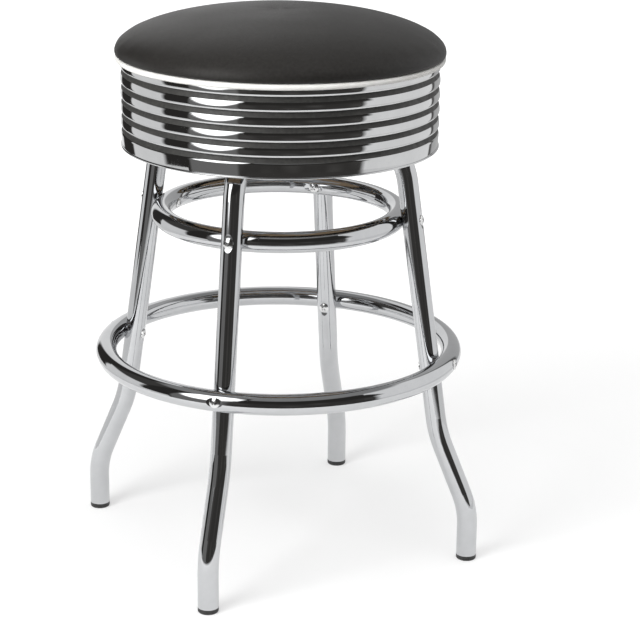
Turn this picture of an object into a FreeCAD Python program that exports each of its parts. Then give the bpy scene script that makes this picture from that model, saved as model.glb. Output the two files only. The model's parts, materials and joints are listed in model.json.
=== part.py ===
import FreeCAD, Part
import math
import os

# A diner counter stool: two bent tube frames cross under the seat, two tube rings tie the
# four legs together, and a padded round seat with a ribbed band turns on a ball bearing.
# Millimetres, +Z up. The origin is on the floor, on the seat's turning axis.
# One leg stands on each of +X, +Y, -X and -Y.

# Tube
tube_od = 25.4
tube_wall = 1.5

# Leg line, from the floor up: upright foot, splayed shin, leaning thigh, level top
foot_radius = 253.0
ankle_height = 67.0
knee_height = 165.0
splay_angle = 23.3
thigh_inside_band = 36.2
top_tube_height = 548.0
ankle_bend = 107.0
knee_bend = 160.0
top_bend = 76.2

# Rings
foot_ring_height = 255.0
foot_saddle_depth = 5.3
upper_ring_below_band = 86.9
upper_saddle_depth = 1.25
saddle_clearance = 0.2

# Foot glides
glide_height = 6.5
glide_plug_length = 20.0
glide_fit = 0.05
glide_edge_round = 2.4
glide_barb = 0.6
barb_count = 3
barb_pitch = 5.0
barb_land = 2.0
barb_ramp = 1.0

# Connector bolts at the rings: a bolt and a sleeve nut with a cross recess in each head
connector_head_radius = 6.3
connector_head_height = 2.7
connector_rim = 0.9
connector_bolt_radius = 3.0
sleeve_radius = 4.0
bore_clearance = 0.05
hole_clearance = 0.2
sleeve_short_of_far_seat = 10.0
bolt_short_of_far_seat = 8.0
sleeve_floor = 4.0
recess_length = 6.4
recess_width = 1.3
recess_depth = 1.6

# Pressed dimples that the connector heads sit in
dimple_depth = 1.9
dimple_sphere = 33.0
head_clearance = 0.1

# Pressed flats and the half lap where the two frames cross
flat_depth = 1.2
lap_gap = 0.3
lap_side_gap = 0.5
ramp_ratio = 1.5
nut_flat_half_length = 9.0

# Swivel plates, as pressed steel
plate_sheet = 2.0
base_plate_radius = 75.0
base_plate_rise = 5.0
race_gap = 4.4
top_plate_drop = 5.0
top_plate_side = 170.0
top_plate_corner = 14.0
pan_radius = 56.0
pan_slope = 4.0
track_radius = 42.0
ball_radius = 4.0
ball_clearance = 0.05
ball_count = 12
cage_thickness = 1.0
cage_half_width = 8.0
cage_pocket_clearance = 0.1

# Swivel rivet
rivet_radius = 9.0
rivet_bore = 6.5
rivet_fit = 0.02
rivet_running_fit = 0.08
rivet_flange_radius = 13.5
rivet_flange = 1.2
rivet_play = 0.3

# Machine screws and nuts
screw_radius = 3.0
screw_head_radius = 5.7
screw_head_height = 3.3
screw_recess_radius = 2.0
screw_recess_depth = 1.8
nut_across_flats = 10.0
nut_height = 5.0
washer_radius = 6.4
washer_thickness = 1.2
screw_tail = 2.5
base_screw_radius = 62.0
crossing_head_radius = 5.2
crossing_head_height = 2.6

# Seat board
board_thickness = 18.0
board_edge = 1.5
board_screw_offset = 68.0
board_screw_length = 17.5
tee_flange_radius = 9.5
tee_flange = 1.2
tee_barrel_radius = 4.2
tee_barrel_length = 11.0

# Cushion and cover
cover_sheet = 1.2
layer_gap = 0.3
crown_overhang = 6.3
crown_rise = 51.0
crown_arcs = 2
cap_start_angle = 56.0
seam_inset = 2.5
seam_below_edge = 4.1
seam_allowance = 3.7
piping_radius = 3.7
piping_inset = 4.1
tongue_thickness = 1.6
hem_width = 26.0
hem_corner = 3.0
staple_count = 16
staple_width = 10.0
staple_wire = 1.2
staple_leg = 7.0
staple_inset = 14.5
nail_clearance = 0.1

# Ribbed band
band_radius = 194.8
band_sheet = 0.9
lower_flat_height = 18.7
top_rib_height = 10.5
groove_count = 5
groove_pitch = 17.6
groove_drop = 5.3
valley_depth = 3.6
groove_shoulder = 1.2
crest_drop = 7.5
band_below_seam = 6.5
hem_bead = 2.8
hem_proud = 0.3
top_draw_in = 2.2
seam_width = 0.4
pin_radius = 0.9
pin_head_radius = 2.0
pin_head_height = 0.8
pin_length = 16.0
pin_above_underside = 14.75
pin_offset = 6.0
grooves_over_pin_count = 1

# How far cutting tools run past a face, and how far fused pieces run into each other
past = 5.0
overlap = 0.5

tube_r = tube_od / 2
tube_bore = tube_r - tube_wall

# Heights of the swivel's levels, from the frame's flats up to the seat board
flat_top = top_tube_height + tube_r - flat_depth
flat_bottom = top_tube_height - tube_r + flat_depth
base_flange_top = flat_top + plate_sheet
base_pan_top = base_flange_top + base_plate_rise
race_centre = base_pan_top + race_gap / 2
top_pan_bottom = base_pan_top + race_gap
top_flange_bottom = top_pan_bottom + top_plate_drop
board_bottom = top_flange_bottom + plate_sheet
board_top = board_bottom + board_thickness

# Heights of the band, the seam and the crown: a groove lies where its pins enter the board
pin_height = board_bottom + pin_above_underside
top_groove_top = pin_height + groove_drop / 2 + groove_pitch * grooves_over_pin_count
band_top = top_groove_top + top_rib_height
first_groove_top = top_groove_top - groove_pitch * (groove_count - 1)
band_bottom = first_groove_top - groove_drop - lower_flat_height
seam_height = band_top + band_below_seam
crown_edge_height = seam_height + seam_below_edge
crown_top = crown_edge_height + crown_rise

# Radii of the seat's layers, from the band's valleys in to the board and out to the crown
side_outer = band_radius - valley_depth - band_sheet - layer_gap
side_inner = side_outer - cover_sheet
board_radius = side_inner - layer_gap
crown_radius = band_radius + crown_overhang
seam_radius = crown_radius - seam_inset
piping_centre_radius = crown_radius - piping_inset
hem_inner_radius = side_outer - hem_width
staple_circle = board_radius - staple_inset

# The leg line: the foot, the knee, and the thigh that leans in to clear the band
knee_radius = foot_radius - (knee_height - ankle_height) * math.tan(math.radians(splay_angle))
thigh_run = knee_radius - (band_radius - thigh_inside_band)
lean = math.atan(thigh_run / (band_bottom - knee_height))
shoulder_radius = knee_radius - (top_tube_height - knee_height) * math.tan(lean)
upper_ring_height = band_bottom - upper_ring_below_band
UP = FreeCAD.Vector(0, 0, 1)
ORIGIN = FreeCAD.Vector(0, 0, 0)


def vec(x, y, z):
    return FreeCAD.Vector(x, y, z)


def turned(shape, angle):
    copy = shape.copy()
    copy.rotate(ORIGIN, UP, angle)
    return copy


def ring_of(shape, count, first=0.0):
    return [turned(shape, first + 360.0 * i / count) for i in range(count)]


def outline(start, *steps):
    """Closed profile in the XZ plane: a step is a point, or a middle and an end for an arc."""
    edges = []
    here = vec(start[0], 0, start[1])
    first = here
    for step in steps:
        if isinstance(step[0], tuple):
            middle = vec(step[0][0], 0, step[0][1])
            end = vec(step[1][0], 0, step[1][1])
            edges.append(Part.Arc(here, middle, end).toShape())
        else:
            end = vec(step[0], 0, step[1])
            edges.append(Part.LineSegment(here, end).toShape())
        here = end
    if here.distanceToPoint(first) > 1e-6:
        edges.append(Part.LineSegment(here, first).toShape())
    return Part.Face(Part.Wire(edges))


def quarter(level_end, upright_end):
    """The middle of a quarter round between a level line's end and an upright line's end."""
    k = math.sqrt(0.5)
    (r0, z0), (r1, z1) = level_end, upright_end
    return r0 + k * (r1 - r0), z1 + k * (z0 - z1)


def spun(face):
    return face.revolve(ORIGIN, UP, 360)


def drum(radius, low, high):
    return Part.makeCylinder(radius, high - low, vec(0, 0, low), UP)


def ring_plate(inner, outer, low, high):
    return drum(outer, low, high).cut(drum(inner, low - past, high + past))


def thigh_radius(height):
    return knee_radius - (height - knee_height) * math.tan(lean)


def leg_corners(foot_height):
    """The leg line's corners, from one foot over the middle to the other."""
    side = [(foot_radius, foot_height), (foot_radius, ankle_height)]
    side += [(knee_radius, knee_height), (shoulder_radius, top_tube_height)]
    return [vec(r, 0, z) for r, z in side] + [vec(-r, 0, z) for r, z in reversed(side)]


def bent_rod(corners, bends, radius):
    """A round rod along straight runs joined by tangent bends, all in one plane."""
    pieces = []
    start = corners[0]
    for i in range(1, len(corners)):
        run = (corners[i] - corners[i - 1]).normalize()
        if i == len(corners) - 1:
            pieces.append(Part.makeCylinder(radius, (corners[i] - start).Length, start, run))
            break
        following = (corners[i + 1] - corners[i]).normalize()
        turn = run.getAngle(following)
        setback = bends[i - 1] * math.tan(turn / 2)
        bend_start = corners[i] - run * setback
        pieces.append(Part.makeCylinder(radius, (bend_start - start).Length, start, run))
        axis = run.cross(following).normalize()
        centre = bend_start + axis.cross(run) * bends[i - 1]
        section = Part.Face(Part.Wire(Part.makeCircle(radius, bend_start, run)))
        pieces.append(section.revolve(centre, axis, math.degrees(turn)))
        start = corners[i] + following * setback
    return pieces[0].multiFuse(pieces[1:])


def leg_rod(radius, foot_height):
    bends = [ankle_bend, knee_bend, top_bend, top_bend, knee_bend, ankle_bend]
    return bent_rod(leg_corners(foot_height), bends, radius)


def along_lean(radius, height, distance):
    """The point reached from a place in the XZ plane by going outwards, square to the thigh."""
    return vec(radius + distance * math.cos(lean), 0, height + distance * math.sin(lean))


# Each ring stands off the thigh's centre line, square to it, as its saddle's depth allows
outwards = vec(math.cos(lean), 0, math.sin(lean))
upper_reach = tube_od + saddle_clearance - upper_saddle_depth
foot_reach = tube_od + saddle_clearance - foot_saddle_depth
upper_ring_radius = thigh_radius(upper_ring_height) - upper_reach / math.cos(lean)
foot_ring_radius = thigh_radius(foot_ring_height) + foot_reach / math.cos(lean)

# Each ring joint: the ring's centre, and the outer and inner ends of the tubes on its axis
upper_joint = (upper_ring_radius, upper_ring_height, upper_reach + tube_r, -tube_r)
foot_joint = (foot_ring_radius, foot_ring_height, tube_r, -foot_reach - tube_r)

# The head's flat underside lies just above the dimple's bowl at its rim
bowl_rise = dimple_sphere - math.sqrt(dimple_sphere ** 2 - connector_head_radius ** 2)
head_seat = dimple_depth - bowl_rise - head_clearance


def dimple_tool(joint, end, outer_side, grown):
    """A ball that presses the dimple at one end of a ring joint's axis."""
    radius, height = joint[0], joint[1]
    sign = 1 if outer_side else -1
    centre = along_lean(radius, height, end + sign * (dimple_sphere - dimple_depth))
    return Part.makeSphere(dimple_sphere + grown, centre)


def joint_hole(joint):
    radius, height, outer, inner = joint
    low = along_lean(radius, height, inner - past)
    return Part.makeCylinder(sleeve_radius + hole_clearance, outer - inner + 2 * past, low, outwards)


def saddle_tool(radius, height, grown):
    return Part.makeTorus(radius, tube_r + saddle_clearance + grown, vec(0, 0, height), UP)


def press_bar(half_length, face, beyond):
    """A bar across the top tube, with ramps at both ends, that presses it flat at a height."""
    reach = half_length + abs(beyond - face) * ramp_ratio
    points = [(-half_length, face), (half_length, face), (reach, beyond), (-reach, beyond)]
    bar = outline(*points).extrude(vec(0, 2 * tube_od, 0))
    bar.translate(vec(0, -tube_od, 0))
    return bar


plate_flat_half_length = base_plate_radius + screw_tail


def top_tools(lap_is_low, grown):
    """Tools that press the plate's flat, the screw nuts' flats and the half lap."""
    over = top_tube_height + 2 * tube_od
    under = top_tube_height - 2 * tube_od
    tools = [press_bar(plate_flat_half_length, flat_top - grown, over)]
    for x in (-base_screw_radius, base_screw_radius):
        nut_flat = press_bar(nut_flat_half_length, flat_bottom + grown, under)
        nut_flat.translate(vec(x, 0, 0))
        tools.append(nut_flat)
    lap = tube_r + lap_side_gap + grown
    if lap_is_low:
        tools.append(press_bar(lap, top_tube_height - lap_gap / 2 - grown, over))
        tools.append(press_bar(nut_flat_half_length, flat_bottom + grown, under))
    else:
        tools.append(press_bar(lap, top_tube_height + lap_gap / 2 + grown, under))
    return tools


def leg_tools(grown):
    """Tools that press both legs of a frame: the ring saddles and the dimples beside them."""
    tools = [saddle_tool(upper_ring_radius, upper_ring_height, grown)]
    tools.append(saddle_tool(foot_ring_radius, foot_ring_height, grown))
    for angle in (0, 180):
        tools.append(turned(dimple_tool(upper_joint, upper_joint[2], True, grown), angle))
        tools.append(turned(dimple_tool(foot_joint, foot_joint[3], False, grown), angle))
    return tools


def leg_frame(lap_is_low):
    """One tube from foot to foot, pressed where it meets the rings, the plate and its twin."""
    outside = leg_rod(tube_r, glide_height)
    inside = leg_rod(tube_bore, glide_height - past)
    outside = outside.cut(leg_tools(0) + top_tools(lap_is_low, 0))
    inside = inside.cut(leg_tools(tube_wall) + top_tools(lap_is_low, tube_wall))
    tube = outside.cut(inside)
    holes = []
    for angle in (0, 180):
        holes.append(turned(joint_hole(upper_joint), angle))
        holes.append(turned(joint_hole(foot_joint), angle))
    for x in (-base_screw_radius, 0, base_screw_radius):
        low = vec(x, 0, top_tube_height - tube_od)
        holes.append(Part.makeCylinder(screw_radius + hole_clearance, 2 * tube_od, low, UP))
    tube = tube.cut(holes)
    return tube if lap_is_low else turned(tube, 90)


def ring_length(radius, bar, height):
    """A quarter of a ring of round bar, with its middle on +X."""
    quarter_ring = Part.makeTorus(radius, bar, vec(0, 0, height), UP, 0, 360, 90)
    return turned(quarter_ring, -45)


def tube_ring(joint, end, outer_side):
    """A ring of four rolled lengths of tube that butt midway between the legs.

    Each length has a dimple and a hole at its middle for the connector bolt.
    """
    radius, height = joint[0], joint[1]
    outside = ring_length(radius, tube_r, height)
    inside = ring_length(radius, tube_bore, height)
    outside = outside.cut(dimple_tool(joint, end, outer_side, 0))
    inside = inside.cut(dimple_tool(joint, end, outer_side, tube_wall))
    return four(outside.cut(inside).cut(joint_hole(joint)))


def glide():
    """A plastic foot: a rim flush with the tube, and a barbed plug inside it."""
    plug = tube_bore - glide_fit
    top = glide_height + glide_plug_length
    barb = plug - glide_barb
    level, upright = (tube_r - glide_edge_round, 0), (tube_r, glide_edge_round)
    points = [(0, 0), level, (quarter(level, upright), upright)]
    points += [(tube_r, glide_height), (plug, glide_height)]
    for i in range(barb_count):
        z = glide_height + barb_pitch * (i + 0.5)
        points += [(plug, z), (barb, z), (barb, z + barb_land), (plug, z + barb_land + barb_ramp)]
    points += [(plug, top - barb_ramp), (plug - barb_ramp, top), (0, top)]
    foot = spun(outline(*points))
    foot.translate(vec(foot_radius, 0, 0))
    return foot


def cap_step(radius, height, top):
    """An arc from a point up to the axis, along a ball centred on the axis."""
    rise = top - height
    ball = (radius ** 2 + rise ** 2) / (2 * rise)
    middle = radius / 2
    return (middle, top - ball + math.sqrt(ball ** 2 - middle ** 2)), (0, top)


def domed_head(radius, height, rim):
    """A head above z = 0, with a flat underside, an upright rim and a domed top."""
    return spun(outline((0, 0), (radius, 0), (radius, rim), cap_step(radius, rim, height)))


def cross_recess(top, depth):
    arms = []
    for angle in (0, 90):
        arm = Part.makeBox(recess_length, recess_width, depth + past)
        arm.translate(vec(-recess_length / 2, -recess_width / 2, top - depth))
        arms.append(turned(arm, angle + 45))
    return arms


def connector_head():
    head = domed_head(connector_head_radius, connector_head_height, connector_rim)
    return head.cut(cross_recess(connector_head_height, recess_depth))


def connector_length(joint):
    return joint[2] - joint[3] - 2 * head_seat


def set_on_axis(shape, joint, end, facing_out):
    """Turns a fastener's +Z to the joint's axis and puts its head's underside on its seat."""
    direction = outwards if facing_out else outwards * -1
    seat = end - head_seat if facing_out else end + head_seat
    placed = shape.copy()
    spin = FreeCAD.Rotation(UP, direction)
    placed.Placement = FreeCAD.Placement(along_lean(joint[0], joint[1], seat), spin)
    return placed


def connector_bolt(joint):
    shank = connector_length(joint) - bolt_short_of_far_seat
    bolt = connector_head().fuse(drum(connector_bolt_radius, -shank, overlap))
    return set_on_axis(bolt, joint, joint[2], True)


def sleeve_nut(joint):
    sleeve = connector_length(joint) - sleeve_short_of_far_seat
    nut = connector_head().fuse(drum(sleeve_radius, -sleeve, overlap))
    nut = nut.cut(drum(connector_bolt_radius + bore_clearance, -sleeve - past, -sleeve_floor))
    return set_on_axis(nut, joint, joint[3], False)


def four(shape):
    return Part.makeCompound(ring_of(shape, 4))


def hexagon(corner, height):
    points = [vec(corner, 0, height)]
    for i in range(1, 7):
        angle = math.radians(60 * i)
        points.append(vec(corner * math.cos(angle), corner * math.sin(angle), height))
    return Part.Face(Part.makePolygon(points))


def screw(length, head_radius, head_height):
    """A machine screw with its head above z = 0 and a hexagon socket."""
    body = domed_head(head_radius, head_height, head_height / 2)
    body = body.fuse(drum(screw_radius, -length, overlap))
    socket = hexagon(screw_recess_radius, head_height - screw_recess_depth)
    return body.cut(socket.extrude(vec(0, 0, screw_recess_depth + past)))


def nut_and_washer(bore):
    """A hexagon nut below z = 0 with its washer on top."""
    corner = nut_across_flats / 2 / math.cos(math.radians(30))
    nut = hexagon(corner, -washer_thickness).extrude(vec(0, 0, -nut_height))
    nut = nut.fuse(drum(washer_radius, -washer_thickness, 0))
    return nut.cut(drum(bore, -nut_height - washer_thickness - past, past))


def base_screws():
    fixing = screw(base_flange_top - flat_bottom + washer_thickness + nut_height + screw_tail,
                   screw_head_radius, screw_head_height)
    fixing.translate(vec(base_screw_radius, 0, base_flange_top))
    return four(fixing)


def base_nuts():
    nut = nut_and_washer(screw_radius + bore_clearance)
    nut.translate(vec(base_screw_radius, 0, flat_bottom))
    return four(nut)


def crossing_screw():
    length = flat_top - flat_bottom + washer_thickness + nut_height + screw_tail
    pin = screw(length, crossing_head_radius, crossing_head_height)
    pin.translate(vec(0, 0, flat_top))
    return pin


def crossing_nut():
    nut = nut_and_washer(screw_radius + bore_clearance)
    nut.translate(vec(0, 0, flat_bottom))
    return nut


def race_groove():
    return Part.makeTorus(track_radius, ball_radius + ball_clearance, vec(0, 0, race_centre), UP)


def race_back():
    """The pressed bump behind a race, one sheet thicker than the groove."""
    outer = ball_radius + ball_clearance + plate_sheet
    return Part.makeTorus(track_radius, outer, vec(0, 0, race_centre), UP)


def pan(flange_outer, flange_low, pan_low, hole):
    """A round pressed plate: a flat flange, a sloped wall and a pan at another height."""
    f, p, t = flange_low, pan_low, plate_sheet
    slope = pan_radius - pan_slope
    lower = [(hole, p), (slope, p), (pan_radius, f), (flange_outer, f)]
    upper = [(flange_outer, f + t), (pan_radius, f + t), (slope, p + t), (hole, p + t)]
    return spun(outline(*(lower + upper)))


def swivel_base_plate():
    low = base_pan_top - plate_sheet
    plate = pan(base_plate_radius, flat_top, low, rivet_radius + rivet_fit)
    below = drum(base_plate_radius, low - plate_sheet, base_pan_top)
    plate = plate.fuse(race_back().common(below)).cut(race_groove())
    hole = drum(screw_radius + hole_clearance, flat_top - past, base_flange_top + past)
    hole.translate(vec(base_screw_radius, 0, 0))
    return plate.cut(ring_of(hole, 4))


def swivel_top_plate():
    hole_r = rivet_radius + rivet_running_fit
    plate = pan(top_plate_side, top_flange_bottom, top_pan_bottom, hole_r)
    above = drum(top_plate_side, top_pan_bottom, top_pan_bottom + 2 * plate_sheet)
    plate = plate.fuse(race_back().common(above)).cut(race_groove())
    low, half = top_pan_bottom - past, top_plate_side / 2
    height = board_bottom + past - low
    blank = Part.makeBox(top_plate_side, top_plate_side, height, vec(-half, -half, low))
    upright = [e for e in blank.Edges if abs(e.tangentAt(e.FirstParameter).z) > 0.9]
    plate = plate.common(blank.makeFillet(top_plate_corner, upright))
    hole = drum(screw_radius + hole_clearance, low, board_bottom + past)
    hole.translate(vec(board_screw_offset, board_screw_offset, 0))
    return plate.cut(ring_of(hole, 4))


def swivel_rivet():
    """A hollow rivet that is tight in the base plate and holds the top plate down loosely."""
    under = base_pan_top - plate_sheet
    over = top_pan_bottom + plate_sheet + rivet_play
    body = drum(rivet_radius, under - rivet_flange, over + rivet_flange)
    body = body.fuse(drum(rivet_flange_radius, under - rivet_flange, under))
    body = body.fuse(drum(rivet_flange_radius, over, over + rivet_flange))
    return body.cut(drum(rivet_bore, under - past, over + past))


def bearing_cage():
    low = race_centre - cage_thickness / 2
    high = race_centre + cage_thickness / 2
    cage = ring_plate(track_radius - cage_half_width, track_radius + cage_half_width, low, high)
    pocket = drum(ball_radius + cage_pocket_clearance, low - past, high + past)
    pocket.translate(vec(track_radius, 0, 0))
    return cage.cut(ring_of(pocket, ball_count))


def bearing_balls():
    ball = Part.makeSphere(ball_radius, vec(track_radius, 0, race_centre))
    return Part.makeCompound(ring_of(ball, ball_count))


def board_screws():
    fixing = screw(board_screw_length, screw_head_radius, screw_head_height)
    fixing.rotate(ORIGIN, vec(1, 0, 0), 180)
    fixing.translate(vec(board_screw_offset, board_screw_offset, top_flange_bottom))
    return four(fixing)


def tee_nuts():
    barrel_low = board_top - tee_flange - tee_barrel_length
    nut = drum(tee_flange_radius, board_top - tee_flange, board_top)
    nut = nut.fuse(drum(tee_barrel_radius, barrel_low, board_top))
    nut = nut.cut(drum(screw_radius + bore_clearance, barrel_low - past, board_top + past))
    nut.translate(vec(board_screw_offset, board_screw_offset, 0))
    return four(nut)


def staple(grown=0.0):
    """One staple under the board: its crown lies along the edge and its legs point up."""
    wire = staple_wire + 2 * grown
    half = staple_width / 2
    crown_low = board_bottom - layer_gap - cover_sheet - staple_wire
    top = crown_low + staple_wire + cover_sheet + layer_gap + staple_leg
    piece = Part.makeBox(staple_wire, staple_width, staple_wire)
    piece.translate(vec(staple_circle - staple_wire / 2, -half, crown_low))
    for y in (-half + staple_wire / 2, half - staple_wire / 2):
        leg = Part.makeBox(wire, wire, top + grown - crown_low)
        leg.translate(vec(staple_circle - wire / 2, y - wire / 2, crown_low))
        piece = piece.fuse(leg)
    return piece


def staple_holes():
    return [turned(staple(nail_clearance), angle) for angle in staple_angles()]


def staple_angles():
    return [360.0 * (i + 0.5) / staple_count for i in range(staple_count)]


def staples():
    return Part.makeCompound([turned(staple(), angle) for angle in staple_angles()])


def seat_board():
    r, e = board_radius, board_edge
    low, high = board_bottom, board_top
    board = spun(outline((0, low), (r - e, low), (r, low + e), (r, high - e), (r - e, high), (0, high)))
    cuts = staple_holes() + pin_holes()
    barrel_low = board_top - tee_flange - tee_barrel_length
    bolt = drum(screw_radius + hole_clearance, low - past, high)
    bolt = bolt.fuse(drum(tee_barrel_radius + bore_clearance, barrel_low - overlap, high + past))
    bolt = bolt.fuse(drum(tee_flange_radius + hole_clearance, high - tee_flange, high + past))
    bolt.translate(vec(board_screw_offset, board_screw_offset, 0))
    return board.cut(cuts + ring_of(bolt, 4))


def crown_steps(radius, edge_height, top):
    """Arcs along an ellipse from the crown's widest point, closed by a cap over the middle."""
    rise = top - edge_height
    steps = []
    for i in range(crown_arcs):
        angles = [math.radians(cap_start_angle * (i + share) / crown_arcs) for share in (0.5, 1)]
        steps.append(tuple((radius * math.cos(a), edge_height + rise * math.sin(a)) for a in angles))
    return steps + [cap_step(steps[-1][1][0], steps[-1][1][1], top)]


def backwards(start, steps, shift):
    """The same line walked from its end to its start, moved inwards."""
    ends = [start] + [step[1] if isinstance(step[0], tuple) else step for step in steps]
    middles = [step[0] if isinstance(step[0], tuple) else None for step in steps]
    moved = [(r - shift, z) for r, z in ends]
    walked = [moved[-1]]
    for middle, goal in zip(reversed(middles), reversed(moved[:-1])):
        walked.append(((middle[0] - shift, middle[1]), goal) if middle else goal)
    return walked


allowance_outer = side_inner + seam_allowance
tongue_top = seam_height - layer_gap
tongue_bottom = tongue_top - tongue_thickness
side_top = tongue_bottom - layer_gap


def top_panel():
    """The round vinyl panel: a crowned skin that turns in at its seam."""
    t = cover_sheet
    edge, inner_edge = (crown_radius, crown_edge_height), (crown_radius - t, crown_edge_height)
    seam, inner_seam = (seam_radius, seam_height), (seam_radius, seam_height + t)
    steps = crown_steps(crown_radius, crown_edge_height, crown_top)
    steps += backwards(inner_edge, crown_steps(inner_edge[0], crown_edge_height, crown_top - t), 0)
    steps += [(quarter(inner_seam, inner_edge), inner_seam), (side_inner, inner_seam[1])]
    steps += [(side_inner, seam_height), seam, (quarter(seam, edge), edge)]
    return spun(outline(edge, *steps))


def foam_pad():
    """The pad: straight sides on the board, drawn in under a crowned top that overhangs them."""
    gap = cover_sheet + layer_gap
    shelf = (board_radius, seam_height + gap)
    lip = (seam_radius - layer_gap, shelf[1])
    low = board_top + layer_gap
    edge = (crown_radius - gap, crown_edge_height)
    steps = [(board_radius, low), shelf, lip, (quarter(lip, edge), edge)]
    steps += crown_steps(edge[0], crown_edge_height, crown_top - gap)
    return spun(outline((0, low), *steps))


def piping():
    """The welt: a round bead under the panel's seam, and a tongue sewn in between the layers."""
    centre = vec(0, 0, tongue_top - piping_radius)
    bead = Part.makeTorus(piping_centre_radius, piping_radius, centre, UP)
    tongue = ring_plate(side_inner, piping_centre_radius, tongue_bottom, tongue_top)
    return bead.fuse(tongue)


def side_panel():
    """The side strip of vinyl: down behind the band, round the board's edge and under it."""
    t, c = cover_sheet, hem_corner
    low = board_bottom - layer_gap - t
    under, side = (side_outer - c, low), (side_outer, low + c)
    inner_under, inner_side = (under[0], low + t), (side_inner, low + c)
    points = [(allowance_outer, side_top), (allowance_outer, side_top - t), (side_outer, side_top - t)]
    points += [side, (quarter(under, side), under), (hem_inner_radius, low)]
    points += [(hem_inner_radius, low + t), inner_under]
    points += [(quarter(inner_under, inner_side), inner_side), (side_inner, side_top)]
    return spun(outline(*points)).cut(staple_holes() + pin_holes())


def rolled(crest, end):
    """The middle of an arc that stands upright at its crest and curves in to its end."""
    depth, rise = crest[0] - end[0], end[1] - crest[1]
    radius = (depth ** 2 + rise ** 2) / (2 * depth)
    half = math.asin(rise / radius) / 2
    return crest[0] - radius * (1 - math.cos(half)), crest[1] + radius * math.sin(half)


def band_line():
    """The band's outer line from its lower edge up: hem bead, flat, then grooves and ribs."""
    flat = band_radius - hem_proud
    rib = groove_pitch - groove_drop
    bead = ((band_radius + hem_proud, band_bottom + hem_bead), (flat, band_bottom + 2 * hem_bead))
    shoulder = (band_radius - groove_shoulder, first_groove_top - groove_drop)
    crest = (flat, shoulder[1] - crest_drop)
    steps = [bead, crest, (rolled(crest, shoulder), shoulder)]
    for i in range(groove_count):
        valley = (band_radius - valley_depth, first_groove_top + groove_pitch * i)
        crest = (band_radius, valley[1] + rib - crest_drop)
        steps += [valley, (rolled(crest, valley), crest)]
        if i < groove_count - 1:
            shoulder = (band_radius - groove_shoulder, valley[1] + rib)
            steps.append((rolled(crest, shoulder), shoulder))
    level, upright = (band_radius - top_draw_in, band_top), (band_radius, band_top - top_draw_in)
    steps += [upright, (quarter(level, upright), level)]
    return (band_radius - hem_bead, band_bottom), steps


def ribbed_band():
    """The bright metal band: one rolled sheet with a butt seam at the back."""
    start, steps = band_line()
    band = spun(outline(start, *(steps + backwards(start, steps, band_sheet))))
    low = vec(-seam_width / 2, side_outer, band_bottom - past)
    reach, height = band_radius + past - side_outer, band_top - band_bottom + 2 * past
    seam = Part.makeBox(seam_width, reach, height, low)
    return band.cut([seam] + pin_holes())


# The band's pins go through a groove into the board's edge, one each side of the seam
groove_slope = (valley_depth - groove_shoulder) / groove_drop
pin_seat = band_radius - (groove_shoulder + valley_depth) / 2 + pin_head_radius * groove_slope
pin_seat += nail_clearance


def pin_shank(grown):
    low = vec(0, pin_seat + grown, pin_height)
    return Part.makeCylinder(pin_radius + grown, pin_length + 2 * grown, low, vec(0, -1, 0))


def pin_angles():
    return [math.degrees(side * pin_offset / band_radius) for side in (-1, 1)]


def pin_holes():
    return [turned(pin_shank(nail_clearance), angle) for angle in pin_angles()]


def band_pins():
    low = vec(0, pin_seat, pin_height)
    head = Part.makeCylinder(pin_head_radius, pin_head_height, low, vec(0, 1, 0))
    pin = pin_shank(0).fuse(head)
    return Part.makeCompound([turned(pin, angle) for angle in pin_angles()])


def save(name, shape):
    shape.exportStep("parts/" + name + ".step")
    print(name, len(shape.Solids), round(shape.Volume), shape.isValid())


os.makedirs("parts", exist_ok=True)
save("leg_frame_side", leg_frame(True))
save("leg_frame_front", leg_frame(False))
save("foot_ring", tube_ring(foot_joint, foot_joint[2], True))
save("upper_ring", tube_ring(upper_joint, upper_joint[3], False))
for name, angle in (("right", 0), ("back", 90), ("left", 180), ("front", 270)):
    save("glide_" + name, turned(glide(), angle))
save("foot_ring_bolts", four(connector_bolt(foot_joint)))
save("foot_ring_sleeve_nuts", four(sleeve_nut(foot_joint)))
save("upper_ring_bolts", four(connector_bolt(upper_joint)))
save("upper_ring_sleeve_nuts", four(sleeve_nut(upper_joint)))
save("crossing_screw", crossing_screw())
save("crossing_nut", crossing_nut())
save("swivel_base_plate", swivel_base_plate())
save("base_plate_screws", base_screws())
save("base_plate_nuts", base_nuts())
save("swivel_rivet", swivel_rivet())
save("bearing_cage", bearing_cage())
save("bearing_balls", bearing_balls())
save("swivel_top_plate", swivel_top_plate())
save("seat_board_screws", board_screws())
save("tee_nuts", tee_nuts())
save("seat_board", seat_board())
save("foam_pad", foam_pad())
save("top_panel", top_panel())
save("piping", piping())
save("side_panel", side_panel())
save("staples", staples())
save("ribbed_band", ribbed_band())
save("band_pins", band_pins())
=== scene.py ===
import json
import math
import bpy
from mathutils import Matrix, Vector


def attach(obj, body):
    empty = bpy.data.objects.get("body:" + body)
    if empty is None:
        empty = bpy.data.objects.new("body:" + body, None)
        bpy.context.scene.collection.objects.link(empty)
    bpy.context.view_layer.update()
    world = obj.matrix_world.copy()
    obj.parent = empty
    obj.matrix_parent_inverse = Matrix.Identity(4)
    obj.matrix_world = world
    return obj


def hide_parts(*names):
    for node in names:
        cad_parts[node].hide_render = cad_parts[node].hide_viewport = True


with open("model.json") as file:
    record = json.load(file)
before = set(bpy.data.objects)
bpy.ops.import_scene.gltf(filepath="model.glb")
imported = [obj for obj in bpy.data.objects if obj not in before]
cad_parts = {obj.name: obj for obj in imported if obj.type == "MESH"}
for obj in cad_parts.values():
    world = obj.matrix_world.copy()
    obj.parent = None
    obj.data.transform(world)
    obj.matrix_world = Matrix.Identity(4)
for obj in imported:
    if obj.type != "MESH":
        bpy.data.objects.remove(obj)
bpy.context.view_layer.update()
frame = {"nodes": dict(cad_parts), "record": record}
nodes = frame["nodes"]

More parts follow.
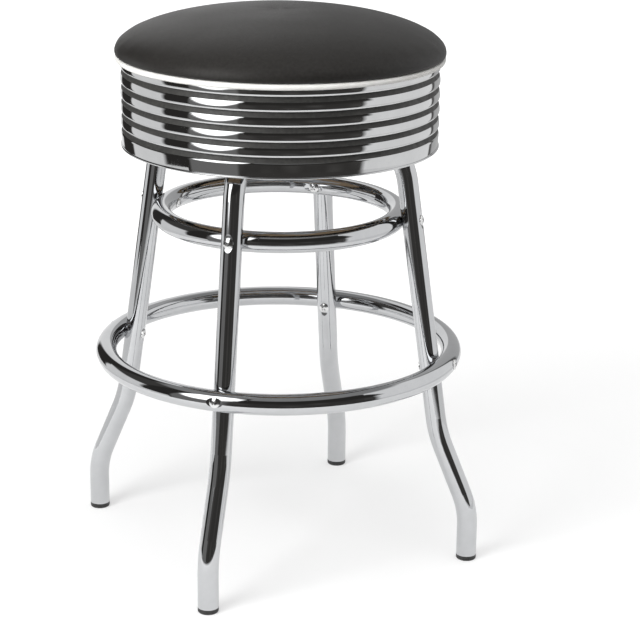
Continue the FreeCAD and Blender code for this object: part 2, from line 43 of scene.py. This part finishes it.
# Seat sizes in metres, as in the solid model
BAND_RADIUS = 0.1948
BAND_BOTTOM = 0.5185
BAND_TOP = 0.6234
BAND_SHEET = 0.0009
GROOVE_COUNT = 5
GROOVE_PITCH = 0.0176
GROOVE_DROP = 0.0053
FIRST_GROOVE_TOP = 0.5425
VALLEY_DEPTH = 0.0036
GROOVE_SHOULDER = 0.0012
CREST_DROP = 0.0075
HEM_BEAD = 0.0013
HEM_PROUD = 0.0003
HEM_ROLL = 0.0024
TOP_DRAW_IN = 0.0022
SEAM_GAP = 0.0004
CROWN_RADIUS = 0.2011
CROWN_EDGE = 0.6340
CROWN_TOP = 0.6850
SEAM_RADIUS = 0.1986
SEAM_HEIGHT = 0.6299
PIPING_RADIUS = 0.0037
PIPING_CENTRE = 0.1970
BOARD_RADIUS = 0.1885
BOARD_BOTTOM = 0.5779
BOARD_TOP = 0.5959
SIDE_OUTER = 0.1900
SIDE_TOP = 0.6277
COVER_SHEET = 0.0012
SIDE_FLANGE = 0.0025
HEM_INNER = 0.1640
HEM_CORNER = 0.0030
LAYER_GAP = 0.0003

# Fine forms in metres. Waves round the seat have a height, a count and a phase.
PUCKER_WAVES = ((0.00022, 37, 1.3), (0.00016, 61, 0.4))
PUCKER_REACH = 0.035
PUCKER_BELOW_EDGE = 0.002
RIPPLE_WAVES = ((0.00010, 88, 0.0), (0.00012, 23, 0.9))
PIPING_JOINT_DIP = 0.0007
PIPING_JOINT_ANGLE = 0.006
TRIM_WAVES = ((0.0011, 9, 0.7), (0.0007, 31, 0.0))
TRIM_REACH = 0.004

# Steps round the seat and over its crown
SEAT_STEPS = 256
CUSHION_STEPS = 160
CROWN_STEPS = 40

# Camera, from the fit to the photograph
CAMERA_PLACE = (0.79048, -2.28795, 1.06224)
CAMERA_AZIMUTH = 17.8356
CAMERA_ELEVATION = 17.6990
CAMERA_ROLL = 0.70
LENS = 112.95
SENSOR = 36.0


def smooth(mesh, angle=math.radians(35)):
    """Smooth shading that keeps edges sharper than an angle."""
    for polygon in mesh.polygons:
        polygon.use_smooth = True
    mesh.set_sharp_from_angle(angle=angle)


def lathe(name, profile, segments, slots=None, closed=True, first=0.0, sweep=2 * math.pi):
    """Turns a profile of radius and height points round Z, by a full turn or a shorter sweep.

    slots gives each profile edge's material, and closed joins the last point to the first.
    """
    full = abs(sweep - 2 * math.pi) < 1e-9
    columns = segments if full else segments + 1
    vertices, faces, face_slots = [], [], []
    rows = []
    for radius, height in profile:
        if radius < 1e-9:
            rows.append([len(vertices)] * columns)
            vertices.append((0, 0, height))
            continue
        rows.append(list(range(len(vertices), len(vertices) + columns)))
        for i in range(columns):
            angle = first + sweep * i / segments
            vertices.append((radius * math.cos(angle), radius * math.sin(angle), height))
    pairs = list(zip(range(len(profile)), range(1, len(profile))))
    if closed:
        pairs.append((len(profile) - 1, 0))
    for edge, (a, b) in enumerate(pairs):
        for i in range(segments):
            j = (i + 1) % columns
            corners = [rows[a][i], rows[a][j], rows[b][j], rows[b][i]]
            corners = [c for k, c in enumerate(corners) if c not in corners[:k]]
            if len(corners) > 2:
                faces.append(corners)
                face_slots.append(slots[edge] if slots else 0)
    mesh = bpy.data.meshes.new(name)
    mesh.from_pydata(vertices, [], faces)
    mesh.polygons.foreach_set("material_index", face_slots)
    mesh.validate()
    thing = bpy.data.objects.new(name, mesh)
    bpy.context.scene.collection.objects.link(thing)
    return thing


def arc(centre, radii, start, end, steps):
    """Points along a circle or an ellipse, with angles in degrees from level outwards, up."""
    points = []
    for i in range(steps + 1):
        angle = math.radians(start + (end - start) * i / steps)
        points.append((centre[0] + radii[0] * math.cos(angle), centre[1] + radii[1] * math.sin(angle)))
    return points


def rolled(crest, end, steps):
    """Points along an arc that stands upright at its crest and curves in to its end."""
    depth, rise = crest[0] - end[0], end[1] - crest[1]
    radius = (depth ** 2 + rise ** 2) / (2 * depth)
    turn = math.degrees(math.asin(rise / radius))
    return arc((crest[0] - radius, crest[1]), (radius, radius), 0, turn, steps)


def polar(place):
    """A point's distance from the seat's axis, and its angle round it."""
    return math.hypot(place.x, place.y), math.atan2(place.y, place.x)


def waves(angle, terms):
    """Small waves round the seat at an angle."""
    return sum(height * math.sin(count * angle + phase) for height, count, phase in terms)


class Finish:
    """A procedural material, with its own principled shader and short ways to add nodes."""

    def __init__(self, name, colour, roughness, metallic=0.0):
        self.material = bpy.data.materials.new(name)
        self.material.use_nodes = True
        self.tree = self.material.node_tree
        self.shader = self.tree.nodes["Principled BSDF"]
        self.set("Base Color", (*colour, 1.0))
        self.set("Roughness", roughness)
        self.set("Metallic", metallic)
        self.place = self.add("ShaderNodeTexCoord").outputs["Object"]

    def set(self, socket, value):
        self.shader.inputs[socket].default_value = value

    def add(self, kind, **settings):
        node = self.tree.nodes.new(kind)
        for key, value in settings.items():
            setattr(node, key, value)
        return node

    def link(self, output, target):
        self.tree.links.new(output, target)

    def stretched(self, scale):
        """The object's own coordinates, stretched along each axis."""
        node = self.add("ShaderNodeMapping")
        node.inputs["Scale"].default_value = scale
        self.link(self.place, node.inputs["Vector"])
        return node.outputs["Vector"]

    def noise(self, scale, detail=3.0, place=None, roughness=0.5):
        node = self.add("ShaderNodeTexNoise")
        node.inputs["Scale"].default_value = scale
        node.inputs["Detail"].default_value = detail
        node.inputs["Roughness"].default_value = roughness
        self.link(place or self.place, node.inputs["Vector"])
        return node.outputs["Fac"]

    def cells(self, scale):
        node = self.add("ShaderNodeTexVoronoi")
        node.inputs["Scale"].default_value = scale
        self.link(self.place, node.inputs["Vector"])
        return node.outputs["Distance"]

    def span(self, value, low, high, to_low, to_high):
        """A value brought from one range to another and held at its ends."""
        node = self.add("ShaderNodeMapRange")
        for socket, number in zip(("From Min", "From Max", "To Min", "To Max"),
                                  (low, high, to_low, to_high)):
            node.inputs[socket].default_value = number
        self.link(value, node.inputs["Value"])
        return node.outputs["Result"]

    def sum(self, a, b):
        node = self.add("ShaderNodeMath", operation="ADD")
        self.link(a, node.inputs[0])
        self.link(b, node.inputs[1])
        return node.outputs["Value"]

    def tint(self, value, low, high, dark, light):
        """Base colour that runs from dark to light as a value goes from low to high."""
        node = self.add("ShaderNodeValToRGB")
        stops = node.color_ramp.elements
        stops[0].position, stops[0].color = low, (*dark, 1.0)
        stops[1].position, stops[1].color = high, (*light, 1.0)
        self.link(value, node.inputs["Fac"])
        self.link(node.outputs["Color"], self.shader.inputs["Base Color"])

    def rough(self, value, low, high, to_low, to_high):
        """Roughness that follows a value."""
        self.link(self.span(value, low, high, to_low, to_high), self.shader.inputs["Roughness"])

    def bump(self, height, distance, strength=1.0):
        """Relief of a distance in metres."""
        node = self.add("ShaderNodeBump")
        node.inputs["Strength"].default_value = strength
        node.inputs["Distance"].default_value = distance
        self.link(height, node.inputs["Height"])
        self.link(node.outputs["Normal"], self.shader.inputs["Normal"])


CHROME = (0.57, 0.577, 0.588)
CHROME_GLOSS = 0.025
SMEARS_ADD = 0.105


def chrome(name, colour, waviness, gloss=CHROME_GLOSS):
    """Bright plate: polish smears, hairline scratches and a little unevenness below the plate.

    gloss is the roughness where the plate is cleanest.
    """
    f = Finish(name, colour, 0.05, 1.0)
    smears = f.noise(38, 5, roughness=0.6)
    scratches = f.noise(900, 2, f.stretched((1.0, 1.0, 0.03)))
    f.tint(smears, 0.3, 0.7, tuple(0.93 * c for c in colour), colour)
    marks = f.sum(smears, f.span(scratches, 0.62, 0.75, 0, 0.5))
    f.rough(marks, 0.35, 1.1, gloss, gloss + SMEARS_ADD)
    f.bump(f.sum(f.noise(26, 2), f.span(f.noise(420, 2), 0.3, 0.7, 0, 0.04)), waviness)
    return f.material


def groove_black():
    """Matt black enamel in the band's grooves, with fine dust and a slight orange peel."""
    f = Finish("groove_black", (0.03, 0.03, 0.028), 0.5)
    f.tint(f.noise(240, 4), 0.3, 0.75, (0.022, 0.022, 0.021), (0.04, 0.039, 0.036))
    f.rough(f.noise(90, 3), 0.3, 0.7, 0.4, 0.6)
    f.bump(f.noise(1500, 2), 0.00004)
    return f.material


def black_vinyl():
    """Fine grained vinyl: pebbled cells with creases between them, over soft unevenness."""
    f = Finish("black_vinyl", (0.02, 0.019, 0.018), 0.42)
    f.set("Specular IOR Level", 0.24)
    pebbles = f.cells(1150)
    coarse = f.cells(520)
    f.tint(f.noise(260, 5), 0.3, 0.7, (0.0145, 0.0135, 0.0125), (0.0205, 0.0192, 0.0178))
    f.rough(f.sum(f.span(f.noise(12, 2), 0.3, 0.7, 0.3, 0.4), f.span(pebbles, 0.2, 0.7, 0, 0.3)),
            0.3, 0.7, 0.34, 0.5)
    grain = f.sum(f.span(pebbles, 0.0, 0.6, 0.5, 0.0), f.span(coarse, 0.0, 0.6, 0.4, 0.0))
    f.bump(f.sum(grain, f.span(f.noise(3000, 2), 0.3, 0.7, 0, 0.15)), 0.00016, 0.8)
    return f.material


def white_vinyl():
    """Off-white vinyl piping with a faint grain and a little handling dirt."""
    f = Finish("white_vinyl", (0.8, 0.79, 0.76), 0.4)
    f.tint(f.noise(65, 5, roughness=0.65), 0.25, 0.6, (0.74, 0.725, 0.69), (0.83, 0.825, 0.8))
    f.rough(f.noise(120, 3), 0.3, 0.7, 0.32, 0.5)
    f.bump(f.sum(f.cells(1400), f.noise(160, 3)), 0.00006, 0.7)
    return f.material


def zinc(name, colour, roughness):
    """Zinc plate: spangled patches, handling marks and a fine grain."""
    f = Finish(name, colour, roughness, 1.0)
    spangle = f.cells(160)
    f.tint(f.sum(f.span(spangle, 0, 0.7, 0.2, 0.6), f.span(f.noise(40, 4), 0.3, 0.7, 0, 0.4)),
           0.2, 0.9, tuple(0.72 * c for c in colour), colour)
    f.rough(f.noise(130, 4), 0.3, 0.7, roughness - 0.08, roughness + 0.12)
    f.bump(f.noise(700, 3), 0.00003)
    return f.material


def plastic():
    """Moulded black plastic, scuffed towards the floor."""
    f = Finish("glide_plastic", (0.02, 0.02, 0.02), 0.45)
    f.tint(f.noise(300, 4), 0.35, 0.75, (0.016, 0.016, 0.016), (0.035, 0.034, 0.033))
    f.rough(f.noise(180, 3), 0.3, 0.7, 0.38, 0.62)
    f.bump(f.noise(1800, 2), 0.00005)
    return f.material


def plywood():
    """Birch plywood: long grain on the faces, darker growth lines and small flecks."""
    f = Finish("plywood", (0.6, 0.45, 0.3), 0.6)
    grain = f.noise(9, 6, f.stretched((1.0, 14.0, 6.0)), 0.6)
    flecks = f.noise(160, 3, f.stretched((0.25, 2.0, 1.0)))
    f.tint(f.sum(grain, f.span(flecks, 0.55, 0.8, 0, -0.2)), 0.25, 0.75,
           (0.42, 0.28, 0.16), (0.68, 0.52, 0.35))
    f.rough(grain, 0.3, 0.7, 0.5, 0.72)
    f.bump(f.sum(grain, flecks), 0.0002, 0.6)
    return f.material


finishes = {
    "chrome_tube": chrome("chrome_tube_plate", CHROME, 0.00003),
    "bright_screws": chrome("bright_screw_plate", (0.78, 0.78, 0.78), 0.00001, 0.15),
    "zinc_steel": zinc("zinc_plate", (0.62, 0.63, 0.64), 0.34),
    "ball_steel": chrome("ball_polish", (0.62, 0.62, 0.63), 0.000005),
    "black_plastic": plastic(),
    "plywood": plywood(),
    "black_vinyl": black_vinyl(),
    "white_vinyl": white_vinyl(),
    "band_chrome": chrome("band_plate", (0.6, 0.605, 0.61), 0.00002),
}
slot_of = {row["node"]: row["material_slot"] for row in frame["record"]["subparts"]}
for name, node in nodes.items():
    if slot_of[name] in finishes:
        node.data.materials.clear()
        node.data.materials.append(finishes[slot_of[name]])


def dress(thing, slot, *extra):
    """Gives a seat piece its finish and any more materials, and rides it on the seat."""
    thing.data.materials.append(finishes[slot])
    for material in extra:
        thing.data.materials.append(material)
    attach(thing, "seat")


def band_outline():
    """The band's outer line from its lower edge up, and which of its edges are blackened."""
    flat = BAND_RADIUS - HEM_PROUD
    rib = GROOVE_PITCH - GROOVE_DROP
    low = (BAND_RADIUS - HEM_BEAD, BAND_BOTTOM)
    points = arc((low[0], BAND_BOTTOM + HEM_BEAD), (HEM_BEAD + HEM_PROUD, HEM_BEAD), -90, 88, 10)
    shoulder = (BAND_RADIUS - GROOVE_SHOULDER, FIRST_GROOVE_TOP - GROOVE_DROP)
    points += rolled((flat, shoulder[1] - HEM_ROLL), shoulder, 6)
    blackened = []
    for i in range(GROOVE_COUNT):
        valley = (BAND_RADIUS - VALLEY_DEPTH, FIRST_GROOVE_TOP + GROOVE_PITCH * i)
        crest = (BAND_RADIUS, valley[1] + rib - CREST_DROP)
        blackened.append(len(points) - 1)
        points += reversed(rolled(crest, valley, 8))
        if i < GROOVE_COUNT - 1:
            shoulder = (BAND_RADIUS - GROOVE_SHOULDER, valley[1] + rib)
            points += rolled(crest, shoulder, 8)[1:]
    points += arc((BAND_RADIUS - TOP_DRAW_IN, BAND_TOP - TOP_DRAW_IN), (TOP_DRAW_IN, TOP_DRAW_IN),
                  0, 90, 5)
    return points, blackened


def make_band():
    """The bright band with black grooves, butted at the back."""
    outer, blackened = band_outline()
    inner = [(r - BAND_SHEET, z) for r, z in reversed(outer[4:-4])]
    profile = outer + inner
    slots = [1 if i in blackened else 0 for i in range(len(profile))]
    gap = SEAM_GAP / BAND_RADIUS
    first, sweep = math.pi / 2 + gap / 2, 2 * math.pi - gap
    band = lathe("chrome_band", profile, SEAT_STEPS, slots, first=first, sweep=sweep)
    smooth(band.data)
    dress(band, "band_chrome", groove_black())
    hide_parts("ribbed_band")


# Cloth simulation of the cushion, and the most that it may move a point, in metres
SIM_FRAMES = 18
SIM_PRESSURE = 4.0
SIM_STIFFNESS = 60
SIM_BENDING = 8
SWELL = 0.0035
FREE_AT_EDGE = 0.15
FREE_REACH = 0.05


def crown_line():
    """The cover's line from the seam, round the overhang and over the crown to the middle."""
    points = arc((SEAM_RADIUS, CROWN_EDGE), (CROWN_RADIUS - SEAM_RADIUS, CROWN_EDGE - SEAM_HEIGHT),
                 -90, 0, 6)
    for i in range(1, CROWN_STEPS + 1):
        angle = math.radians(90 * i / CROWN_STEPS)
        radius = CROWN_RADIUS * math.cos(angle) if i < CROWN_STEPS else 0.0
        points.append((radius, CROWN_EDGE + (CROWN_TOP - CROWN_EDGE) * math.sin(angle)))
    return points


def freedom(place):
    """How free the cover is to swell: held at its seam and underside, and free over the crown."""
    if place.z < CROWN_EDGE:
        return 0.0
    return min(1.0, (CROWN_RADIUS - polar(place)[0]) / FREE_REACH + FREE_AT_EDGE)


def swell(pad):
    """Blows the pad up a little as cloth, and caps how far each point moves."""
    rest = [v.co.copy() for v in pad.data.vertices]
    held = pad.vertex_groups.new(name="held")
    for v in pad.data.vertices:
        held.add([v.index], 1.0 - freedom(v.co), "REPLACE")
    cloth = pad.modifiers.new("Swell", "CLOTH")
    cloth.settings.vertex_group_mass = "held"
    cloth.settings.use_pressure = True
    cloth.settings.uniform_pressure_force = SIM_PRESSURE
    cloth.settings.tension_stiffness = SIM_STIFFNESS
    cloth.settings.compression_stiffness = SIM_STIFFNESS
    cloth.settings.bending_stiffness = SIM_BENDING
    cloth.settings.effector_weights.gravity = 0
    scene = bpy.context.scene
    for number in range(1, SIM_FRAMES + 1):
        scene.frame_set(number)
    graph = bpy.context.evaluated_depsgraph_get()
    moved = [v.co.copy() for v in pad.evaluated_get(graph).data.vertices]
    pad.modifiers.clear()
    pad.vertex_groups.clear()
    scene.frame_set(1)
    for v, start, end in zip(pad.data.vertices, rest, moved):
        step = end - start
        if step.length > SWELL:
            step = step.normalized() * SWELL
        v.co = start + step


def make_cushion():
    """The crowned seat cover over its foam, drawn in under its edge down to the seam."""
    under = [(0.0, BOARD_TOP + LAYER_GAP), (BOARD_RADIUS, BOARD_TOP + LAYER_GAP)]
    under.append((BOARD_RADIUS, SEAM_HEIGHT + LAYER_GAP))
    pad = lathe("seat_cushion", under + crown_line(), CUSHION_STEPS, closed=False)
    swell(pad)
    for v in pad.data.vertices:
        if v.co.z > CROWN_EDGE - PUCKER_BELOW_EDGE:
            radius, angle = polar(v.co)
            near_edge = max(0.0, 1 - (CROWN_RADIUS - radius) / PUCKER_REACH)
            v.co.z += near_edge * waves(angle, PUCKER_WAVES)
    smooth(pad.data, math.radians(50))
    dress(pad, "black_vinyl")
    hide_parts("foam_pad", "top_panel")


def make_piping():
    """The off-white piping: a round bead with its sewn tongue, butted at the back."""
    height = SEAM_HEIGHT - LAYER_GAP - PIPING_RADIUS
    bead = arc((PIPING_CENTRE, height), (PIPING_RADIUS, PIPING_RADIUS), -155, 90, 18)
    tongue = [(BOARD_RADIUS + LAYER_GAP, height + PIPING_RADIUS)]
    tongue.append((BOARD_RADIUS + LAYER_GAP, height + PIPING_RADIUS - 0.0016))
    welt = lathe("seat_piping", bead + tongue, SEAT_STEPS)
    for v in welt.data.vertices:
        radius, angle = polar(v.co)
        if radius > PIPING_CENTRE - PIPING_RADIUS:
            from_joint = (angle - math.pi / 2) / PIPING_JOINT_ANGLE
            growth = waves(angle, RIPPLE_WAVES) - PIPING_JOINT_DIP * math.exp(-from_joint ** 2)
            outwards = (radius - PIPING_CENTRE) / PIPING_RADIUS
            grown = radius + growth * outwards
            v.co.x, v.co.y = grown * math.cos(angle), grown * math.sin(angle)
    smooth(welt.data)
    dress(welt, "white_vinyl")
    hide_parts("piping")


def make_side_cover():
    """The vinyl strip behind the band, turned under the board with a hand-trimmed raw edge."""
    low = BOARD_BOTTOM - LAYER_GAP - COVER_SHEET
    flange = SIDE_OUTER + SIDE_FLANGE
    hem_middle = 0.5 * (HEM_INNER + SIDE_OUTER)
    bend_centre = (SIDE_OUTER - HEM_CORNER, low + HEM_CORNER)
    inner_bend = HEM_CORNER - COVER_SHEET
    profile = [(flange, SIDE_TOP), (flange, SIDE_TOP - COVER_SHEET)]
    profile += [(SIDE_OUTER, SIDE_TOP - COVER_SHEET)]
    profile += arc(bend_centre, (HEM_CORNER, HEM_CORNER), 0, -90, 6)
    profile += [(hem_middle, low), (HEM_INNER, low), (HEM_INNER, low + COVER_SHEET)]
    profile += [(hem_middle, low + COVER_SHEET)]
    profile += arc(bend_centre, (inner_bend, inner_bend), -90, 0, 6)
    profile += [(SIDE_OUTER - COVER_SHEET, SIDE_TOP)]
    strip = lathe("side_cover", profile, SEAT_STEPS)
    for v in strip.data.vertices:
        radius, angle = polar(v.co)
        if radius < HEM_INNER + TRIM_REACH:
            trimmed = radius + waves(angle, TRIM_WAVES)
            v.co.x, v.co.y = trimmed * math.cos(angle), trimmed * math.sin(angle)
    smooth(strip.data)
    dress(strip, "black_vinyl")
    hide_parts("side_panel")


make_band()
make_cushion()
make_piping()
make_side_cover()


# The studio: floor, lamps and cards. None of it is part of the stool. Its angles are in degrees
# to the right of the camera's direction, seen from the stool, and its sizes are in metres.
VIEW_AZIMUTH = math.degrees(math.atan2(CAMERA_PLACE[0], -CAMERA_PLACE[1]))
WHITE = (1.0, 1.0, 1.0, 1.0)
AMBIENT = 0.45
LAMP_TARGET = Vector((0, 0, 0.4))

# The floor's paint, and its own light near the stool and far from it
FLOOR_SIZE = 60.0
FLOOR_PAINT = (0.5, 0.5, 0.5, 1.0)
FLOOR_NEAR, FLOOR_FAR = 0.49, 0.95
NEAR_REACH, FAR_REACH = 0.5, 2.6

# The cards that only metal shows. Each pair is the angle where a card begins, and its level.
CARD_DISTANCE = 1.75
CARD_HEIGHT = 2.6
CARD_COLUMNS = 180
CARD_JOIN = 0.85
LOW_CARDS = ((-180, 0.95), (-150, 0.03), (-125, 0.92), (-86, 0.03), (-61, 0.2), (-27, 0.045),
             (58, 0.98), (131, 0.08), (136, 0.5), (179, 0.8))
HIGH_CARDS = ((-180, 0.95), (-150, 0.03), (-125, 0.06), (-86, 0.03), (-27, 0.03),
              (64, 0.98), (131, 0.08), (136, 0.5), (179, 0.8))
DARK_FRONT = (-27, 58)
ROOM_GLINTS = 0.03
CEILING = 0.30

# The soft box: an ellipse on cards that stand nearer to the stool
SOFTBOX_LEVEL = 3.0
SOFTBOX_DISTANCE = 1.05
SOFTBOX_CARDS = (-64, -23.5)
SOFTBOX_ANGLE, SOFTBOX_HALF_ANGLE = -43.5, 19
SOFTBOX_HEIGHT, SOFTBOX_HALF_HEIGHT = 1.2, 0.72

# The floor as metal shows it
FLOOR_SHINE = 0.86
FLOOR_SHADE = 0.05
SHADE_ANGLES = (-61, 58)
SHADE_START = 1.05

# Heights and distances at which the cards change level
WALL_ROWS = (0.0, 0.2, 0.4, 0.45, 0.5, 0.55, 0.6, 0.65, 0.7, 0.78, 0.85, 0.92, 1.0, 1.4, 1.8, 2.2,
             2.4, 2.6)
FLOOR_ROWS = (0.8, 0.9, 1.0, 1.1, 1.2, 1.4, CARD_DISTANCE)
CEILING_ROWS = (0.02, 0.6, 1.2, CARD_DISTANCE)

# Dark cards are a little warm: below the dim level, red and green rise by up to these shares
DIM_LEVEL = 0.25
WARM_RED = 0.12
WARM_GREEN = 0.06


def from_view(angle, distance, height):
    """A place at an angle from the camera's direction, and a distance from the seat's axis."""
    a = math.radians(VIEW_AZIMUTH + angle)
    return Vector((math.sin(a) * distance, -math.cos(a) * distance, height))


def empty_tree(owner):
    """The node tree of a material or a world, with nothing in it."""
    owner.use_nodes = True
    owner.node_tree.nodes.clear()
    return owner.node_tree


def glow():
    """The cards' material, which gives the level of light stored at their corners."""
    material = bpy.data.materials.new("card_light")
    tree = empty_tree(material)
    level = tree.nodes.new("ShaderNodeVertexColor")
    level.layer_name = "level"
    shine = tree.nodes.new("ShaderNodeEmission")
    tree.links.new(level.outputs["Color"], shine.inputs["Color"])
    out = tree.nodes.new("ShaderNodeOutputMaterial")
    tree.links.new(shine.outputs["Emission"], out.inputs["Surface"])
    return material


def stage_mesh(name, vertices, faces, material):
    """A part of the studio, which isn't part of the stool."""
    mesh = bpy.data.meshes.new(name)
    mesh.from_pydata(vertices, [], faces)
    mesh.materials.append(material)
    thing = bpy.data.objects.new(name, mesh)
    bpy.context.scene.collection.objects.link(thing)
    return thing


def soft_step(value, edge, width):
    """A smooth rise from 0 to 1 across an edge."""
    t = min(1.0, max(0.0, (value - edge) / width + 0.5))
    return t * t * (3 - 2 * t)


def blend(value, stops, width):
    """Levels that hold from one stop to the next, with soft edges between them."""
    level = stops[0][1]
    for edge, following in stops[1:]:
        level += (following - level) * soft_step(value, edge, width)
    return level


def within(value, ends, width):
    """1 between two ends and 0 outside them, with soft edges."""
    return soft_step(value, ends[0], width) * (1 - soft_step(value, ends[1], width))


def wall_distance(angle):
    """The soft box's cards stand nearer to the stool than the others."""
    near = within(angle, SOFTBOX_CARDS, 2)
    return CARD_DISTANCE + (SOFTBOX_DISTANCE - CARD_DISTANCE) * near


def card_level(angle, height):
    """The wall's level: low and high cards, a few glints in the dark front, and the soft box."""
    low = blend(angle, LOW_CARDS, 2.5)
    high = blend(angle, HIGH_CARDS, 3.5)
    if DARK_FRONT[0] < angle < DARK_FRONT[1]:
        pattern = math.sin(angle * 0.21) * math.sin(height * 5 + angle * 0.05)
        low += ROOM_GLINTS * max(0.0, pattern)
    level = low + (high - low) * soft_step(height, CARD_JOIN, 0.12)
    from_middle = math.hypot((angle - SOFTBOX_ANGLE) / SOFTBOX_HALF_ANGLE,
                             (height - SOFTBOX_HEIGHT) / SOFTBOX_HALF_HEIGHT)
    level += (SOFTBOX_LEVEL - level) * (1 - soft_step(from_middle, 1.0, 0.12))
    return level + (CEILING - level) * soft_step(height, CARD_HEIGHT - 0.2, 0.4)


def grid_card(name, rows, place, level, shine):
    """A closed ring of cards, with a light level at every corner."""
    vertices, levels, faces = [], [], []
    for row in rows:
        for i in range(CARD_COLUMNS):
            angle = -180 + 360 * i / CARD_COLUMNS
            vertices.append(place(angle, row))
            levels.append(level(angle, row))
    for j in range(len(rows) - 1):
        here, above = j * CARD_COLUMNS, (j + 1) * CARD_COLUMNS
        for i in range(CARD_COLUMNS):
            k = (i + 1) % CARD_COLUMNS
            faces.append((here + i, here + k, above + k, above + i))
    thing = stage_mesh(name, vertices, faces, shine)
    colours = thing.data.color_attributes.new("level", "FLOAT_COLOR", "POINT")
    for entry, value in zip(colours.data, levels):
        warm = 1 - min(1.0, value / DIM_LEVEL)
        entry.color = (value * (1 + WARM_RED * warm), value * (1 + WARM_GREEN * warm), value, 1.0)
    thing.visible_camera = False
    thing.visible_diffuse = False
    thing.visible_shadow = False


def floor_level(angle, distance):
    """The floor as metal shows it: white near the stool, and dark further out in front."""
    shade = within(angle, SHADE_ANGLES, 6) * soft_step(distance, SHADE_START, 0.35)
    return FLOOR_SHINE + (FLOOR_SHADE - FLOOR_SHINE) * shade


def make_cards():
    shine = glow()
    grid_card("card_wall", WALL_ROWS, lambda a, h: from_view(a, wall_distance(a), h),
              card_level, shine)
    grid_card("card_floor", FLOOR_ROWS, lambda a, d: from_view(a, d, 0.004), floor_level, shine)
    grid_card("card_ceiling", CEILING_ROWS, lambda a, d: from_view(a, d, CARD_HEIGHT),
              lambda a, d: CEILING, shine)


def background_rays(tree):
    """1 for rays that show the background: from the camera, a mirror or glass."""
    path = tree.nodes.new("ShaderNodeLightPath")
    total = None
    for ray in ("Is Camera Ray", "Is Glossy Ray", "Is Transmission Ray"):
        if total is None:
            total = path.outputs[ray]
            continue
        top = tree.nodes.new("ShaderNodeMath")
        top.operation = "MAXIMUM"
        tree.links.new(total, top.inputs[0])
        tree.links.new(path.outputs[ray], top.inputs[1])
        total = top.outputs["Value"]
    return total


def far_white(tree):
    """The floor's own light, which rises with distance as the lamps' light falls away."""
    place = tree.nodes.new("ShaderNodeTexCoord")
    reach = tree.nodes.new("ShaderNodeVectorMath")
    reach.operation = "LENGTH"
    tree.links.new(place.outputs["Object"], reach.inputs[0])
    rise = tree.nodes.new("ShaderNodeMapRange")
    for socket, number in (("From Min", NEAR_REACH), ("From Max", FAR_REACH),
                           ("To Min", FLOOR_NEAR), ("To Max", FLOOR_FAR)):
        rise.inputs[socket].default_value = number
    tree.links.new(reach.outputs["Value"], rise.inputs["Value"])
    return rise.outputs["Result"]


def make_floor():
    """A white floor: its own light lifts it to the background's white and keeps the shadows."""
    material = bpy.data.materials.new("floor_white")
    tree = empty_tree(material)
    paint = tree.nodes.new("ShaderNodeBsdfDiffuse")
    paint.inputs["Color"].default_value = FLOOR_PAINT
    lift = tree.nodes.new("ShaderNodeEmission")
    lift.inputs["Color"].default_value = WHITE
    strength = tree.nodes.new("ShaderNodeMath")
    strength.operation = "MULTIPLY"
    tree.links.new(background_rays(tree), strength.inputs[0])
    tree.links.new(far_white(tree), strength.inputs[1])
    tree.links.new(strength.outputs["Value"], lift.inputs["Strength"])
    both = tree.nodes.new("ShaderNodeAddShader")
    tree.links.new(paint.outputs["BSDF"], both.inputs[0])
    tree.links.new(lift.outputs["Emission"], both.inputs[1])
    out = tree.nodes.new("ShaderNodeOutputMaterial")
    tree.links.new(both.outputs["Shader"], out.inputs["Surface"])
    half = FLOOR_SIZE / 2
    corners = [(-half, -half, 0), (half, -half, 0), (half, half, 0), (-half, half, 0)]
    stage_mesh("floor", corners, [(0, 1, 2, 3)], material)


def make_world():
    """An even light on the object, and white behind it."""
    world = bpy.data.worlds.new("studio")
    bpy.context.scene.world = world
    tree = empty_tree(world)
    ambient = tree.nodes.new("ShaderNodeBackground")
    ambient.inputs["Color"].default_value = WHITE
    ambient.inputs["Strength"].default_value = AMBIENT
    white = tree.nodes.new("ShaderNodeBackground")
    white.inputs["Color"].default_value = WHITE
    white.inputs["Strength"].default_value = 1.0
    mix = tree.nodes.new("ShaderNodeMixShader")
    tree.links.new(background_rays(tree), mix.inputs["Fac"])
    tree.links.new(ambient.outputs["Background"], mix.inputs[1])
    tree.links.new(white.outputs["Background"], mix.inputs[2])
    out = tree.nodes.new("ShaderNodeOutputWorld")
    tree.links.new(mix.outputs["Shader"], out.inputs["Surface"])


def lamp(name, angle, distance, height, size, watts):
    """A soft rectangular lamp turned to the stool, which metal doesn't show."""
    light = bpy.data.lights.new(name, "AREA")
    light.shape = "RECTANGLE"
    light.size, light.size_y = size
    light.energy = watts
    thing = bpy.data.objects.new(name, light)
    place = from_view(angle, distance, height)
    thing.location = place
    thing.rotation_euler = (LAMP_TARGET - place).to_track_quat("-Z", "Y").to_euler()
    thing.visible_camera = False
    thing.visible_glossy = False
    bpy.context.scene.collection.objects.link(thing)


make_floor()
make_world()
lamp("key_lamp", angle=-44, distance=2.3, height=1.35, size=(1.2, 1.5), watts=60)
lamp("top_lamp", angle=10, distance=0.6, height=3.2, size=(2.4, 2.4), watts=48)
make_cards()


def make_camera():
    camera = bpy.data.cameras.new("camera")
    camera.sensor_width = SENSOR
    camera.lens = LENS
    camera.clip_start, camera.clip_end = 0.05, 100.0
    thing = bpy.data.objects.new("camera", camera)
    turn = Matrix.Rotation(math.radians(CAMERA_AZIMUTH), 4, "Z")
    tilt = Matrix.Rotation(math.radians(90 - CAMERA_ELEVATION), 4, "X")
    roll = Matrix.Rotation(math.radians(CAMERA_ROLL), 4, "Z")
    thing.matrix_world = Matrix.Translation(CAMERA_PLACE) @ turn @ tilt @ roll
    bpy.context.scene.collection.objects.link(thing)
    bpy.context.scene.camera = thing


make_camera()
bpy.context.scene.view_settings.view_transform = "Standard"
